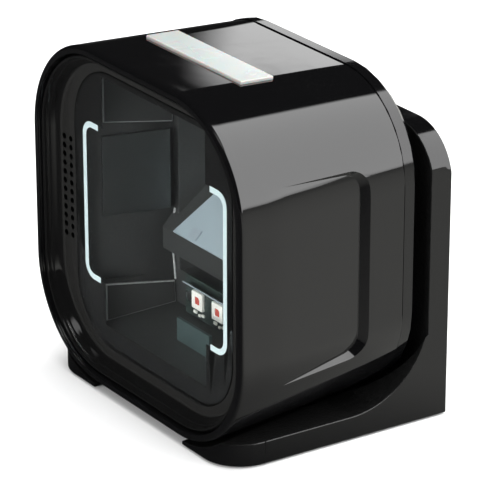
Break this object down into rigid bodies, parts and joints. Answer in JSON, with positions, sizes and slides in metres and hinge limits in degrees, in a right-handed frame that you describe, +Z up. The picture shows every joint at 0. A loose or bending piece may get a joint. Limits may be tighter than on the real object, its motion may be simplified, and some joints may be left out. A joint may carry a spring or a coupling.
{
  "type": "presentation bar code scanner",
  "caption": "Upright presentation bar code scanner: rounded-square glossy head with a large window, light bar and rear button, tilting on a friction hinge in an L-shaped stand.",
  "frame": {"origin": "middle of the footprint, on the surface that the stand rests on", "axes": "+Z up, the window faces -Y, +X is to the right of a viewer who faces the window"},
  "size_m": [0.1528, 0.108, 0.1544],
  "materials": {
    "housing_gloss": "piano-black gloss, fine orange peel",
    "cover_satin": "fine moulded texture, satin black",
    "bezel_gloss": "gloss black with polished rings",
    "window_glass": "clear float glass",
    "mask_black": "printed black border",
    "seal_rubber": "soft black rubber",
    "light_lens": "milky translucent lens",
    "board_green": "solder mask over laminate",
    "led_white": "white light packages",
    "chassis_black": "matte black moulding",
    "mirror_glass": "front-silvered mirror",
    "mirror_dark": "dark coated glass",
    "sensor_dark": "dark moulded package",
    "reflector_silver": "bright rolled foil",
    "steel_bright": "zinc-plated steel",
    "screw_black": "black-plated steel",
    "hinge_zinc": "die-cast, tumbled",
    "washer_brass": "spring bronze",
    "socket_black": "moulded socket body",
    "flex_amber": "polyimide film",
    "stand_black": "gloss outside, textured inside",
    "plate_steel": "zinc-plated steel sheet",
    "button_black": "soft satin black"
  },
  "bodies": {
    "stand": {"stand_frame": "stand_black", "base_plate": "plate_steel", "base_screws": "steel_bright", "rubber_feet": "seal_rubber", "stop_pads": "seal_rubber", "hinge_bracket": "hinge_zinc", "hinge_screws": "steel_bright", "hinge_pin": "steel_bright"},
    "head": {"housing_shell": "housing_gloss", "rear_cover": "cover_satin", "front_bezel": "bezel_gloss", "scan_window": "window_glass", "window_mask": "mask_black", "window_gasket": "seal_rubber", "speaker_gasket": "seal_rubber", "light_bar": "light_lens", "indicator_board": "board_green", "camera_board": "board_green", "led_board": "board_green", "main_board": "board_green", "indicator_leds": "led_white", "led_packages": "led_white", "optical_chassis": "chassis_black", "lens_holder": "chassis_black", "lens_barrel": "chassis_black", "main_mirror": "mirror_glass", "left_mirror": "mirror_glass", "right_mirror": "mirror_glass", "lower_mirror": "mirror_dark", "lens_glass": "mirror_dark", "image_sensor": "sensor_dark", "button_switch": "sensor_dark", "speaker": "sensor_dark", "led_reflector": "reflector_silver", "camera_screws": "steel_bright", "led_screws": "steel_bright", "board_screws": "steel_bright", "knuckle_screws": "steel_bright", "mirror_clips": "steel_bright", "processor_shield": "steel_bright", "usb_socket": "steel_bright", "cover_screws": "screw_black", "hinge_knuckle": "hinge_zinc", "friction_washers": "washer_brass", "interface_socket": "socket_black", "flex_cable": "flex_amber"},
    "button": {"volume_button": "button_black"}
  },
  "joints": [
    {"name": "head_tilt", "type": "hinge", "parent": "stand", "child": "head", "pos_m": [0, 0.041, 0.116], "axis": [-1, 0, 0], "range_deg": [0, 20]},
    {"name": "button_press", "type": "slide", "parent": "head", "child": "button", "axis": [0, -1, 0], "range_m": [0, 0.0008], "stiffness_N_per_m": 500, "springref_m": -0.001}
  ]
}
